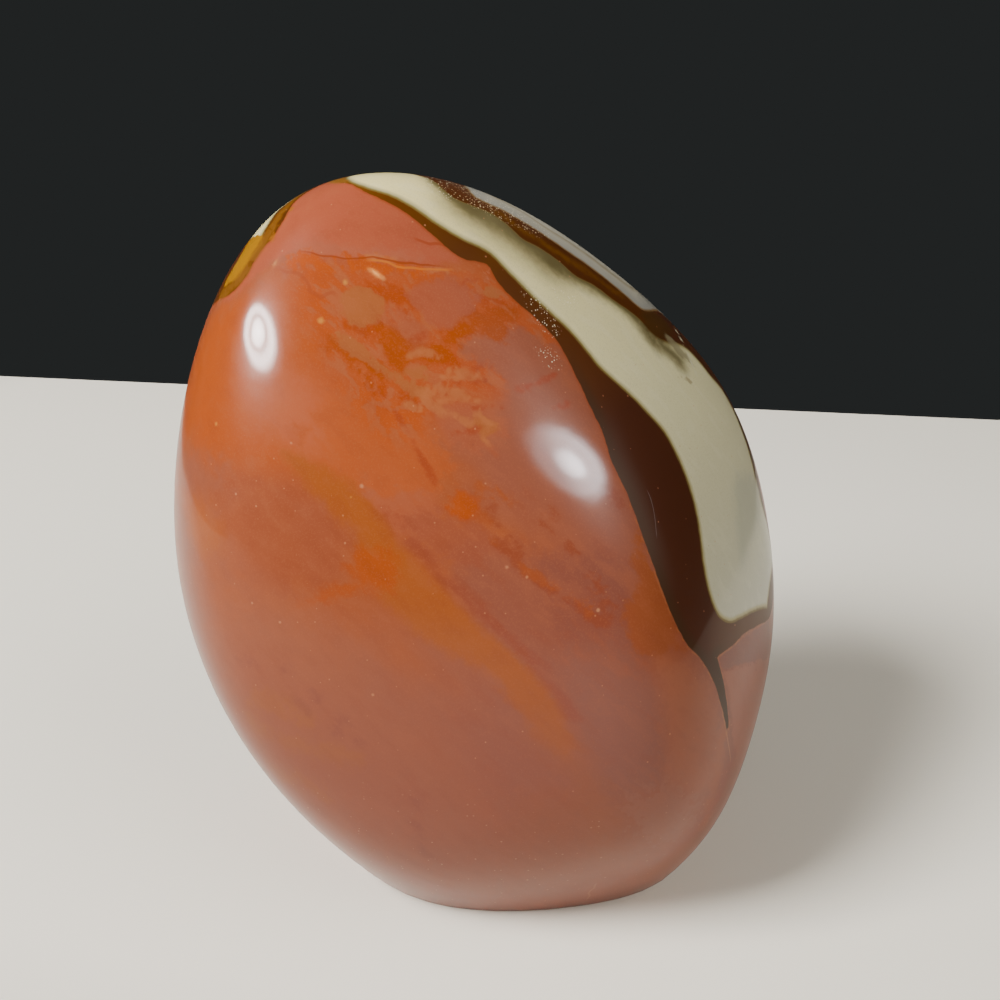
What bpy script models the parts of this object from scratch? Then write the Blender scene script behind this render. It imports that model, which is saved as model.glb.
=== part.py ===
"""A freeform of polychrome jasper: one polished stone, 78 mm tall, that stands on a small flat foot.

The stone is shaped the way a lapidary grinds one. Flats are ground all round a lump, and then
every ridge between two flats is worn round, so that no flat is left truly flat but the broad
front, the soft ridges and the leaning crown can still be read. Last, the foot is cut level.

Units are metres, +Z is up, the front of the stone faces -Y, and the foot lies at Z = 0.
"""

from typing import NamedTuple

import bmesh
import bpy
import numpy as np

STONE = "jasper_stone"
COLLECTION = "polychrome_jasper"


class Flat(NamedTuple):
    """One ground flat: the way it faces, and how far it lies from the heart of the stone."""

    name: str
    turn: float  # degrees round from the front, positive towards +X
    lean: float  # degrees that the flat looks up, negative where it looks down
    reach: float  # metres from the heart to the flat


# The heart is the point that every flat is measured from, half-way up the stone.
HEART = (-0.003, 0.0, 0.038)

# How widely the ridges are worn: the larger it is, the rounder the stone.
RIDGE_WEAR = 0.004

FLATS = (
    # The broad front leans back and is slightly domed, so it has an upper and a lower flat.
    Flat("front_upper", -6, 23, 0.0225),
    Flat("front_lower", -6, 8, 0.0220),
    # Below its widest part the stone tucks in to the foot.
    Flat("front_tuck", 10, -30, 0.0340),
    Flat("left_tuck", -35, -35, 0.0380),
    Flat("lower_left", -75, -28, 0.0360),
    Flat("lower_right", 77, -24, 0.0390),
    # The left cheek and edge stand nearly upright.
    Flat("left_cheek", -60, 10, 0.0335),
    Flat("left_edge", -92, 0, 0.0415),
    # The left side draws in to a blunt crown that sits left of the middle.
    Flat("upper_left", -104, 27, 0.0410),
    Flat("shoulder", -120, 45, 0.0455),
    Flat("crown", -170, 62, 0.0410),
    # From the crown a long slope falls to the right, beside the ridge of the front.
    Flat("top_slope", 124, 49, 0.0355),
    Flat("upper_right", 52, 40, 0.0255),
    Flat("right_face", 60, 14, 0.0265),
    Flat("right_edge", 92, 5, 0.0440),
    # The back is plainer: one broad flat, its two corners and its own tuck.
    Flat("back", 180, 0, 0.0240),
    Flat("back_right", 135, 0, 0.0330),
    Flat("back_left", -135, 0, 0.0330),
    Flat("back_tuck", 180, -35, 0.0325),
)

# The foot's edge is broken with a small round, so that it doesn't chip.
FOOT_EDGE = 0.0007
FOOT_EDGE_STEPS = 2
# Points of the foot's outline closer together than this become one.
FOOT_POINT_GAP = 0.0004

# An icosphere that has been divided this often has 5,120 triangles, each about 2.4 mm wide.
LUMP_DIVISIONS = 5
# Halvings of the gap between a point inside the stone and one outside it.
SEARCH_STEPS = 40
# Every point of the stone lies nearer to the heart than this.
SEARCH_REACH = 0.080

JASPER_RED = (0.42, 0.13, 0.055, 1.0)
POLISH_ROUGHNESS = 0.12


def clear_scene():
    for old in list(bpy.data.objects):
        bpy.data.objects.remove(old, do_unlink=True)


def flat_normal(flat):
    """The unit vector that a flat faces along."""
    turn = np.radians(flat.turn)
    lean = np.radians(flat.lean)
    return (np.sin(turn) * np.cos(lean), -np.cos(turn) * np.cos(lean), np.sin(lean))


def outside_by(points, normals, reaches):
    """How far each point, taken from the heart, lies outside the worn stone. Inside is negative.

    It is a soft maximum of the distances past each flat. In the middle of a flat the nearest one
    decides, and near a ridge two or three of them share, which is what rounds it.
    """
    past = (points @ normals.T - reaches) / RIDGE_WEAR
    most = past.max(axis=1)
    shared = np.log(np.exp(past - most[:, None]).sum(axis=1))
    return (most + shared) * RIDGE_WEAR


def worn_points(directions):
    """The point of the stone's surface along each direction from the heart."""
    normals = np.array([flat_normal(flat) for flat in FLATS])
    reaches = np.array([flat.reach for flat in FLATS])
    near = np.zeros(len(directions))
    far = np.full(len(directions), SEARCH_REACH)
    for _ in range(SEARCH_STEPS):
        middle = (near + far) / 2
        outside = outside_by(directions * middle[:, None], normals, reaches) > 0
        near = np.where(outside, near, middle)
        far = np.where(outside, middle, far)
    return directions * near[:, None] + np.array(HEART)


def ground_lump(mesh_edit):
    """An icosphere whose every point is moved along its own ray to the stone's surface."""
    bmesh.ops.create_icosphere(mesh_edit, subdivisions=LUMP_DIVISIONS, radius=1.0)
    directions = np.array([vertex.co for vertex in mesh_edit.verts])
    directions /= np.linalg.norm(directions, axis=1, keepdims=True)
    for vertex, place in zip(mesh_edit.verts, worn_points(directions)):
        vertex.co = place


def cut_foot(mesh_edit):
    """Cuts away all that lies below Z = 0 and closes the cut with one flat face."""
    everything = mesh_edit.verts[:] + mesh_edit.edges[:] + mesh_edit.faces[:]
    bmesh.ops.bisect_plane(
        mesh_edit,
        geom=everything,
        plane_co=(0.0, 0.0, 0.0),
        plane_no=(0.0, 0.0, 1.0),
        clear_inner=True,
    )
    outline = [edge for edge in mesh_edit.edges if edge.is_boundary]
    outline_points = list({vertex for edge in outline for vertex in edge.verts})
    bmesh.ops.remove_doubles(mesh_edit, verts=outline_points, dist=FOOT_POINT_GAP)
    outline = [edge for edge in mesh_edit.edges if edge.is_boundary]
    for vertex in {vertex for edge in outline for vertex in edge.verts}:
        vertex.co.z = 0.0
    bmesh.ops.holes_fill(mesh_edit, edges=outline)
    bmesh.ops.recalc_face_normals(mesh_edit, faces=mesh_edit.faces[:])


def round_foot_edge(mesh_edit):
    """Breaks the edge between the foot and the sides."""
    outline = [edge for edge in mesh_edit.edges if all(vertex.co.z == 0.0 for vertex in edge.verts)]
    bmesh.ops.bevel(
        mesh_edit,
        geom=outline,
        offset=FOOT_EDGE,
        offset_type="OFFSET",
        segments=FOOT_EDGE_STEPS,
        profile=0.5,
        affect="EDGES",
        clamp_overlap=True,
    )


def jasper_material():
    """The polished stone in its main colour, a brick red."""
    material = bpy.data.materials.new("polished_jasper")
    material.use_nodes = True
    shader = material.node_tree.nodes["Principled BSDF"]
    shader.inputs["Base Color"].default_value = JASPER_RED
    shader.inputs["Roughness"].default_value = POLISH_ROUGHNESS
    shader.inputs["Metallic"].default_value = 0.0
    material.diffuse_color = JASPER_RED
    return material


def make_stone(collection):
    mesh = bpy.data.meshes.new(STONE)
    mesh_edit = bmesh.new()
    ground_lump(mesh_edit)
    cut_foot(mesh_edit)
    round_foot_edge(mesh_edit)
    mesh_edit.to_mesh(mesh)
    mesh_edit.free()
    mesh.shade_smooth()
    mesh.materials.append(jasper_material())
    stone = bpy.data.objects.new(STONE, mesh)
    collection.objects.link(stone)
    return stone


def main():
    clear_scene()
    collection = bpy.data.collections.new(COLLECTION)
    bpy.context.scene.collection.children.link(collection)
    make_stone(collection)


main()
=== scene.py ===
# %% [markdown]
# This lesson dresses one polished stone, a freeform of polychrome jasper that is 78 mm tall.
# Its solid is already modelled and packed, and it is loaded here as a fixed frame, so
# nothing below moves it or changes its size. What is made here is a finer skin for it, the
# coloured cells and veins that show on that skin, its polish, and the lamps that it mirrors.
# Units are metres, +Z is up, the front of the stone faces -Y, and the foot lies at Z = 0.

# %% Load the imported stone
import math
from typing import NamedTuple

import bmesh
import bpy
import numpy as np
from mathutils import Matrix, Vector
from mathutils.bvhtree import BVHTree


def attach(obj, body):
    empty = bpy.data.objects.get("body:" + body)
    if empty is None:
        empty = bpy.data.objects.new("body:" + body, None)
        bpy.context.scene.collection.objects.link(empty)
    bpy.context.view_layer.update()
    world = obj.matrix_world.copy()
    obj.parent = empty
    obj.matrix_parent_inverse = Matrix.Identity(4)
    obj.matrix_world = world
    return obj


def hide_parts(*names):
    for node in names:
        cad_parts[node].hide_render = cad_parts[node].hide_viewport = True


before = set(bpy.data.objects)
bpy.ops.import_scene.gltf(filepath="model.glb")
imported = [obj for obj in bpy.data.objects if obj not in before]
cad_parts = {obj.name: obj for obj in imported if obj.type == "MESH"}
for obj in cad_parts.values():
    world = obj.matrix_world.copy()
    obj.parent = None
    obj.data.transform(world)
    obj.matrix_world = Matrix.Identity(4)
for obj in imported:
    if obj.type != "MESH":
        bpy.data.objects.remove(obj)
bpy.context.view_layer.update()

STONE = "jasper_stone"
MM = 0.001
packed_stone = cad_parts[STONE]

# %% [markdown]
# The photograph was taken from about 13 cm away and a little above the stone. The camera could
# be placed by eye. Here its place, tilt and lens were worked out from the stone's outline and
# the line where the floor ends, and a pixel of the photograph can then be sent back along its
# ray to the spot on the stone that it shows.

# %% Camera
PHOTO_SIDE = 1000  # pixels along each side of the photograph
FOCAL_LENGTH = 1150  # in the same pixels
SENSOR_WIDTH = 36.0  # mm, which turns the focal length into a lens
CAMERA_AT = Vector((-0.002, -0.1124, 0.099))
LOOKS_DOWN = math.radians(26)
NEAREST_SEEN = 0.01


def make_camera():
    lens = bpy.data.cameras.new("photo_camera")
    lens.sensor_fit = "HORIZONTAL"
    lens.sensor_width = SENSOR_WIDTH
    lens.lens = SENSOR_WIDTH * FOCAL_LENGTH / PHOTO_SIDE
    lens.clip_start = NEAREST_SEEN
    camera = bpy.data.objects.new("photo_camera", lens)
    camera.location = CAMERA_AT
    camera.rotation_euler = (math.pi / 2 - LOOKS_DOWN, 0, 0)
    bpy.context.scene.collection.objects.link(camera)
    bpy.context.scene.camera = camera
    return camera


camera = make_camera()
print("lens:", round(camera.data.lens, 1), "mm on a sensor", SENSOR_WIDTH, "mm wide")

# %% [markdown]
# Everything that is made of nodes below goes through one small helper. It adds a node, sets
# its options, and fills its sockets in order, each with a plain value or with a link from
# another node. Both Geometry Nodes and materials are built with it, so the code that follows
# reads like the formula that the nodes work out.

# %% Helper for nodes
def put(tree, kind, *inputs, **options):
    """A new node. Each input is a value, a socket to link, or None to leave it as it is."""
    node = tree.nodes.new(kind)
    for name, value in options.items():
        setattr(node, name, value)
    for socket, value in zip(node.inputs, inputs):
        if isinstance(value, bpy.types.NodeSocket):
            tree.links.new(value, socket)
        elif value is not None:
            socket.default_value = value
    return node


def maths(tree, operation, *inputs, clamp=False):
    """The result of one step of arithmetic."""
    return put(tree, "ShaderNodeMath", *inputs, operation=operation, use_clamp=clamp).outputs[0]


def vector_maths(tree, operation, *inputs, result="Vector"):
    return put(tree, "ShaderNodeVectorMath", *inputs, operation=operation).outputs[result]


def fade(tree, value, start, end, low=0.0, high=1.0):
    """Goes from low to high as the value goes from start to end, gently at both ends."""
    node = put(tree, "ShaderNodeMapRange", value, start, end, low, high)
    node.interpolation_type = "SMOOTHSTEP"
    return node.outputs["Result"]


# %% [markdown]
# The real stone was ground: flats were cut all round it, and then every ridge between two
# flats was worn round on softer wheels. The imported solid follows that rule, but its triangles
# are more than 2 mm wide, and a mirror-like polish would show each one. So the skin takes the
# solid's own faces, cuts each into 12, and moves every new point along its ray from the heart
# to the surface that the rule gives. The rule is a soft maximum: of the distances past each
# flat the largest one counts, and near a ridge two or three share, which rounds it.
# Geometry Nodes suit a shape that follows a rule, because the same few nodes run on every
# point at once. A subdivision surface would be quicker to set up, but it shrinks the stone and
# leaves small waves where its triangles meet.

# %% The flats that were ground
class Flat(NamedTuple):
    """One ground flat: the way it faces, and how far it lies from the heart of the stone."""

    turn: float  # degrees round from the front, positive towards +X
    lean: float  # degrees that the flat looks up, negative where it looks down
    reach: float  # metres from the heart to the flat


HEART = Vector((-0.003, 0.0, 0.038))
RIDGE_WEAR = 0.004

FLATS = (
    # The broad front, its tuck above the foot and the lower sides.
    Flat(-6, 23, 0.0225),
    Flat(-6, 8, 0.0220),
    Flat(10, -30, 0.0340),
    Flat(-35, -35, 0.0380),
    Flat(-75, -28, 0.0360),
    Flat(77, -24, 0.0390),
    # The left cheek and edge, and the left side that draws in to the crown.
    Flat(-60, 10, 0.0335),
    Flat(-92, 0, 0.0415),
    Flat(-104, 27, 0.0410),
    Flat(-120, 45, 0.0455),
    Flat(-170, 62, 0.0410),
    # The long slope on the right, and the right side.
    Flat(124, 49, 0.0355),
    Flat(52, 40, 0.0255),
    Flat(60, 14, 0.0265),
    Flat(92, 5, 0.0440),
    # The plainer back.
    Flat(180, 0, 0.0240),
    Flat(135, 0, 0.0330),
    Flat(-135, 0, 0.0330),
    Flat(180, -35, 0.0325),
)


def facing(turn, lean):
    """The unit vector that looks round from the front by turn and up by lean, in degrees."""
    turn, lean = math.radians(turn), math.radians(lean)
    return Vector(
        (math.sin(turn) * math.cos(lean), -math.cos(turn) * math.cos(lean), math.sin(lean))
    )


print(len(FLATS), "flats were ground")

# %% The tree that moves points to the ground surface
# A point starts within 0.2 mm of the surface, so two steps of Newton's method bring it there.
SURFACE_STEPS = 2
# Below the first height the solid's own bevelled foot is kept, above the second one the rule.
BEVEL_TOP = 0.0007
RULE_FROM = 0.0016


def step_to_surface(tree, ray, length):
    """One step of Newton's method: a better length for the ray from the heart."""
    shared = 0.0
    slope = 0.0
    for flat in FLATS:
        across = vector_maths(
            tree, "DOT_PRODUCT", ray, facing(flat.turn, flat.lean), result="Value"
        )
        past = maths(tree, "MULTIPLY_ADD", length, across, -flat.reach)
        weight = maths(tree, "EXPONENT", maths(tree, "DIVIDE", past, RIDGE_WEAR))
        shared = maths(tree, "ADD", weight, shared)
        slope = maths(tree, "MULTIPLY_ADD", weight, across, slope)
    outside_by = maths(tree, "MULTIPLY", maths(tree, "LOGARITHM", shared, math.e), RIDGE_WEAR)
    rate = maths(tree, "DIVIDE", slope, shared)
    return maths(tree, "SUBTRACT", length, maths(tree, "DIVIDE", outside_by, rate))


def skin_tree():
    tree = bpy.data.node_groups.new("ground_skin", "GeometryNodeTree")
    for name, kind in (
        ("Solid", "NodeSocketGeometry"),
        ("Cuts", "NodeSocketInt"),
        ("Heart", "NodeSocketVector"),
        ("Finish", "NodeSocketMaterial"),
    ):
        tree.interface.new_socket(name, in_out="INPUT", socket_type=kind)
    tree.interface.new_socket("Skin", in_out="OUTPUT", socket_type="NodeSocketGeometry")
    given = tree.nodes.new("NodeGroupInput").outputs
    cut = put(tree, "GeometryNodeSubdivideMesh", given["Solid"], given["Cuts"]).outputs[0]
    place = put(tree, "GeometryNodeInputPosition").outputs[0]
    from_heart = vector_maths(tree, "SUBTRACT", place, given["Heart"])
    ray = vector_maths(tree, "NORMALIZE", from_heart)
    length = vector_maths(tree, "LENGTH", from_heart, result="Value")
    for _ in range(SURFACE_STEPS):
        length = step_to_surface(tree, ray, length)
    reached = put(tree, "ShaderNodeVectorMath", ray, operation="SCALE")
    tree.links.new(length, reached.inputs["Scale"])
    ground = vector_maths(tree, "ADD", given["Heart"], reached.outputs[0])
    height = put(tree, "ShaderNodeSeparateXYZ", place).outputs["Z"]
    share = fade(tree, height, BEVEL_TOP, RULE_FROM)
    blend = put(tree, "ShaderNodeMix", data_type="VECTOR")
    tree.links.new(share, blend.inputs["Factor"])
    tree.links.new(place, blend.inputs[4])
    tree.links.new(ground, blend.inputs[5])
    moved = put(tree, "GeometryNodeSetPosition", cut, None, blend.outputs[1]).outputs[0]
    smooth = put(tree, "GeometryNodeSetShadeSmooth", moved).outputs[0]
    real = put(tree, "GeometryNodeRealizeInstances", smooth).outputs[0]
    coated = put(tree, "GeometryNodeSetMaterial", real, None, given["Finish"]).outputs[0]
    put(tree, "NodeGroupOutput", coated)
    return tree


print("each point takes", SURFACE_STEPS, "steps to the surface")

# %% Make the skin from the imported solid
CUTS = 2
MERGE_WITHIN = 1e-6


def merged_copy(node, name):
    """The node's loose triangles as one closed mesh. The node itself stays as it is."""
    work = bmesh.new()
    work.from_mesh(node.data)
    bmesh.ops.remove_doubles(work, verts=work.verts, dist=MERGE_WITHIN)
    work.verts.index_update()
    points = [vertex.co[:] for vertex in work.verts]
    faces = [[vertex.index for vertex in face.verts] for face in work.faces]
    work.free()
    mesh = bpy.data.meshes.new(name)
    mesh.from_pydata(points, [], faces)
    return mesh


def make_skin(finish):
    skin = bpy.data.objects.new("jasper_skin", merged_copy(packed_stone, "jasper_skin"))
    bpy.context.scene.collection.objects.link(skin)
    grinding = skin.modifiers.new("grinding", "NODES")
    tree = skin_tree()
    grinding.node_group = tree
    values = {"Cuts": CUTS, "Heart": HEART, "Finish": finish}
    for name, value in values.items():
        grinding[tree.interface.items_tree[name].identifier] = value
    ready = skin.evaluated_get(bpy.context.evaluated_depsgraph_get())
    fine = bpy.data.meshes.new_from_object(ready)
    skin.modifiers.remove(grinding)
    skin.data = fine
    fine.name = "jasper_skin"
    return skin


veined_jasper = bpy.data.materials.new("veined_jasper")
skin = make_skin(veined_jasper)
print("skin:", len(skin.data.vertices), "points,", len(skin.data.polygons), "faces")

# %% [markdown]
# A pixel of the photograph marks a spot on the stone once its ray is followed from the camera
# to the skin. The sides that the photograph doesn't show have no pixels, so spots there are
# given by a turn and a lean from the heart, in degrees, the way a place on a globe is.

# %% From pixels and directions to spots on the stone
skin_points = np.array([vertex.co for vertex in skin.data.vertices])
skin_tree_of_faces = BVHTree.FromPolygons(
    [vertex.co for vertex in skin.data.vertices],
    [face.vertices for face in skin.data.polygons],
)
MIDDLE_PIXEL = PHOTO_SIDE / 2
STEP_INWARDS = 0.5  # pixels, for a pixel that lies just off the stone's outline


def pixel_ray(x, y):
    """The direction in which the camera sees a pixel of the photograph."""
    across = (x - MIDDLE_PIXEL) / FOCAL_LENGTH
    up = (MIDDLE_PIXEL - y) / FOCAL_LENGTH
    return (camera.rotation_euler.to_matrix() @ Vector((across, up, -1))).normalized()


def seen_spot(x, y):
    """The spot on the stone under a pixel, or under the nearest pixel inwards that hits it."""
    while True:
        spot, _, face, _ = skin_tree_of_faces.ray_cast(CAMERA_AT, pixel_ray(x, y))
        if spot is not None:
            return spot, face
        inwards = Vector((MIDDLE_PIXEL - x, MIDDLE_PIXEL - y)).normalized() * STEP_INWARDS
        x, y = x + inwards.x, y + inwards.y


def seen(*pixels):
    return [seen_spot(x, y)[0][:] for x, y in pixels]


def hidden(*turns_and_leans):
    """Spots on the sides that the photograph doesn't show."""
    spots = [
        skin_tree_of_faces.ray_cast(HEART, facing(turn, lean))[0]
        for turn, lean in turns_and_leans
    ]
    return [spot[:] for spot in spots]


print("the peak of the red front, in mm:", [round(c / MM, 1) for c in seen((346, 181))[0]])

# %% [markdown]
# The lamps come next, because the stone itself says where they stood. Each glint is a lamp
# mirrored in the polish, so the camera's ray to the glint, turned back by the surface there,
# points at the lamp. Two long lamps make the two white glints, and two small warm ones the
# sparks near the crown. A plain area light would be mirrored as a hard rectangle, so here the
# lamp's own nodes dim it from the middle outwards, and it is mirrored as a soft oval with the
# faint rings of a bulb behind frosted glass. These lamps are for the polish alone, and the
# softboxes of the next step give the light that the colours are seen by.

# %% Lamps from their glints
class Lamp(NamedTuple):
    """One lamp, placed by the pixel where the stone mirrors it."""

    name: str
    glint: tuple  # pixel of the glint
    distance: float  # metres from the stone
    width: float  # metres
    height: float  # metres
    brightness: float  # how bright the middle looks, where white paper in full light is 1
    colour: tuple
    steady: float  # how bright its dimmer end is, as a share of its brighter end
    rings: tuple  # how bright it is on the way from its middle (0) to its rim (1)


WHITE_LIGHT = (1.0, 0.97, 0.95)
COOL_LIGHT = (0.97, 0.97, 1.0)
WARM_LIGHT = (1.0, 0.52, 0.13)
CLEAR_RINGS = (
    (0.0, 1.0), (0.24, 0.7), (0.34, 0.24), (0.39, 0.21), (0.48, 0.45), (0.60, 0.55), (0.70, 0.26),
    (0.80, 0.03), (1.0, 0.0),
)
BLURRED_RINGS = (
    (0.0, 1.0), (0.20, 0.75), (0.34, 0.30), (0.44, 0.26), (0.60, 0.26), (0.72, 0.12), (0.84, 0.02),
    (1.0, 0.0),
)
LAMPS = (
    Lamp("left_lamp", (258, 334), 0.5, 0.355, 0.122, 310.0, WHITE_LIGHT, 0.9, CLEAR_RINGS),
    Lamp("right_lamp", (571, 465), 0.5, 0.53, 0.122, 210.0, COOL_LIGHT, 0.25, BLURRED_RINGS),
    Lamp("warm_lamp", (377, 272), 0.6, 0.080, 0.034, 120.0, WARM_LIGHT, 0.9, BLURRED_RINGS),
    Lamp("warm_side_lamp", (275, 260), 0.6, 0.075, 0.040, 45.0, WARM_LIGHT, 0.9, BLURRED_RINGS),
)


def mirrored(x, y):
    """The spot under a pixel, and the way that the stone mirrors the camera's ray there."""
    spot, face = seen_spot(x, y)
    corners = [skin.data.vertices[index].normal for index in skin.data.polygons[face].vertices]
    normal = sum(corners, Vector()).normalized()
    return spot, pixel_ray(x, y).reflect(normal)


def add_area_light(name, place, target, width, height, brightness, colour):
    light = bpy.data.lights.new(name, "AREA")
    light.shape = "RECTANGLE"
    light.size = width
    light.size_y = height
    light.energy = brightness * math.pi * width * height
    light.color = colour
    lamp = bpy.data.objects.new(name, light)
    lamp.location = place
    lamp.rotation_euler = (target - place).to_track_quat("-Z", "Y").to_euler()
    lamp.visible_camera = False
    bpy.context.scene.collection.objects.link(lamp)
    return lamp


def ramp(tree, value, stops):
    """Turns a number into a colour. Each stop is a number and the colour there."""
    first, last = stops[0][0], stops[-1][0]
    share = put(tree, "ShaderNodeMapRange", value, first, last).outputs["Result"]
    node = put(tree, "ShaderNodeValToRGB", share)
    marks = node.color_ramp.elements
    for _ in stops[2:]:
        marks.new(0.5)
    for mark, (number, colour) in zip(marks, stops):
        mark.position = (number - first) / (last - first)
        mark.color = (*colour, 1.0)
    return node.outputs["Color"]


# Where along a lamp it starts and stops dimming, as shares of its length.
DIMMING_SPAN = (0.2, 0.8)


def frost(light, steady, rings):
    """Dims a lamp in rings towards its rim, and from one end to the other."""
    light.use_nodes = True
    tree = light.node_tree
    across = put(tree, "ShaderNodeNewGeometry").outputs["Parametric"]
    from_middle = vector_maths(tree, "MULTIPLY_ADD", across, (2, 2, 0), (-1, -1, 0))
    to_rim = vector_maths(tree, "LENGTH", from_middle, result="Value")
    glow = ramp(tree, to_rim, [(share, (bright,) * 3) for share, bright in rings])
    end = put(tree, "ShaderNodeSeparateXYZ", across).outputs["X"]
    slope = fade(tree, end, *DIMMING_SPAN, steady, 1.0)
    tree.links.new(maths(tree, "MULTIPLY", glow, slope), tree.nodes["Emission"].inputs["Strength"])


for lamp in LAMPS:
    spot, way = mirrored(*lamp.glint)
    place = spot + way * lamp.distance
    light = add_area_light(
        lamp.name, place, spot, lamp.width, lamp.height, lamp.brightness, lamp.colour
    )
    light.visible_diffuse = False
    frost(light.data, lamp.steady, lamp.rings)
    print(lamp.name, "stands at", [round(c, 2) for c in place])

# %% [markdown]
# The rest of the light is a plain soft studio light that the polish doesn't mirror: one from
# the upper left, which throws the soft shadow to the right, a weak one overhead, and a warmer
# one from the right. The floor is pale, greyed by painted shade farther out, and ends behind
# the stone, because the lower half of the polish mirrors it and the upper half mirrors dark
# surroundings.

# %% Studio light
STONE_MIDDLE = Vector((0, 0, 0.04))


class Softbox(NamedTuple):
    """One large square light."""

    name: str
    turn: float  # degrees round from the front
    lift: float  # degrees above the floor
    distance: float
    side: float
    strength: float  # how bright white paper looks at the stone, facing the light
    colour: tuple


SOFT_WARM_LIGHT = (1.0, 0.94, 0.86)
SOFTBOXES = (
    Softbox("key_light", -66, 45, 0.7, 0.25, 2.10, WHITE_LIGHT),
    Softbox("top_light", 20, 86, 0.8, 0.70, 0.10, WHITE_LIGHT),
    Softbox("right_light", 60, 40, 0.8, 0.60, 0.55, SOFT_WARM_LIGHT),
)
for box in SOFTBOXES:
    place = STONE_MIDDLE + facing(box.turn, box.lift) * box.distance
    brightness = box.strength * math.pi * (box.distance / box.side) ** 2
    light = add_area_light(
        box.name, place, STONE_MIDDLE, box.side, box.side, brightness, box.colour
    )
    light.visible_glossy = False

print(len(SOFTBOXES), "softboxes")

# %% Floor and surroundings
SURROUNDINGS = (0.020, 0.022, 0.022, 1.0)
FLOOR_ROUGHNESS = 0.9
FLOOR_GLOSS = 0.2
# The floor is palest round the stone. Farther away it goes to grey, a painted shade, because the
# polish mirrors it there. The distance is from a point behind the stone, in metres, and it counts
# less sideways.
FLOOR_MIDDLE = (0.0, 0.075, 0.0)
SIDEWAYS = (0.6, 1.0, 1.0)
FLOOR_PAINTED_SHADE = (
    (0.0, (0.90, 0.870, 0.765)),
    (0.105, (0.88, 0.845, 0.735)),
    (0.15, (0.58, 0.555, 0.475)),
    (0.40, (0.50, 0.490, 0.445)),
)
# The floor ends in a straight line behind the stone, and its far corners are cut off, as the
# edge between dark and light across the polish shows.
FLOOR_OUTLINE = (
    (-0.55, -1.20), (0.55, -1.20), (0.55, -0.20), (0.16, 0.10), (0.135, 0.145), (-0.15, 0.145),
    (-0.17, 0.09), (-0.40, -0.20), (-0.55, -0.30),
)
FLOOR_TURN = math.radians(-7)


def set_surroundings():
    world = bpy.data.worlds.new("dark_surroundings")
    world.use_nodes = True
    world.node_tree.nodes["Background"].inputs["Color"].default_value = SURROUNDINGS
    bpy.context.scene.world = world


def pale_floor_finish():
    finish = bpy.data.materials.new("pale_floor")
    finish.use_nodes = True
    tree = finish.node_tree
    shader = tree.nodes["Principled BSDF"]
    shader.inputs["Roughness"].default_value = FLOOR_ROUGHNESS
    shader.inputs["Specular IOR Level"].default_value = FLOOR_GLOSS
    place = put(tree, "ShaderNodeTexCoord").outputs["Object"]
    narrowed = vector_maths(tree, "MULTIPLY", place, SIDEWAYS)
    distance = vector_maths(tree, "DISTANCE", narrowed, FLOOR_MIDDLE, result="Value")
    tree.links.new(ramp(tree, distance, FLOOR_PAINTED_SHADE), shader.inputs["Base Color"])
    return finish


def make_floor():
    mesh = bpy.data.meshes.new("floor")
    corners = [(x, y, 0) for x, y in FLOOR_OUTLINE]
    mesh.from_pydata(corners, [], [range(len(corners))])
    mesh.materials.append(pale_floor_finish())
    floor = bpy.data.objects.new("floor", mesh)
    floor.rotation_euler.z = FLOOR_TURN
    bpy.context.scene.collection.objects.link(floor)


set_surroundings()
make_floor()
print("the floor has", len(FLOOR_OUTLINE), "corners")

# %% [markdown]
# Polychrome jasper is silica that was stained by iron in many steps, so it reads as cells of
# one colour with dark walls between them. This stone has a brick-red cell, which is the whole
# front, two cream ones on the slope and the back, and brown walls that are thick in one place
# and a hair line in another. The walls could be painted as an image. Here each cell is instead
# an outline on the stone, and every point of the skin stores how deep inside it lies, in
# millimetres, with a minus sign outside. A material can then put an edge, a rim or a soft
# gradient at any depth, and it stays sharp however close the camera comes.

# %% Smooth lines and depths
SPAN_STEPS = 5


def smooth_line(points, closed):
    """A Catmull-Rom spline through the points. A point given twice makes a sharp corner."""
    points = np.array(points)
    before, after = (points[-1:], points[:2]) if closed else (points[:1], points[-1:])
    padded = np.concatenate([before, points, after])
    a, b, c, d = padded[:-3], padded[1:-2], padded[2:-1], padded[3:]
    t = (np.arange(SPAN_STEPS) / SPAN_STEPS)[:, None, None]
    bend = 2 * a - 5 * b + 4 * c - d + t * (3 * (b - c) + d - a)
    spans = b + t / 2 * (c - a + t * bend)
    line = spans.transpose(1, 0, 2).reshape(-1, 3)
    return line if closed else np.concatenate([line, points[-1:]])


def distance_to(line):
    """How far each point of the skin lies from a line, in millimetres."""
    nearest = np.full(len(skin_points), np.inf)
    for start, end in zip(line[:-1], line[1:]):
        along = end - start
        if not along.any():
            continue
        share = np.clip((skin_points - start) @ along / (along @ along), 0, 1)
        gap = skin_points - start - share[:, None] * along
        nearest = np.minimum(nearest, (gap * gap).sum(axis=1))
    return np.sqrt(nearest) / MM


def flat_map(points, middle):
    """The points as seen from the heart, flattened round the middle direction."""
    rays = points - np.array(HEART)
    rays /= np.linalg.norm(rays, axis=1, keepdims=True)
    across = np.cross(middle, (0.0, 0.0, 1.0))
    across /= np.linalg.norm(across)
    up = np.cross(across, middle)
    spread = 1 + rays @ middle
    return rays @ across / spread, rays @ up / spread


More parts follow.
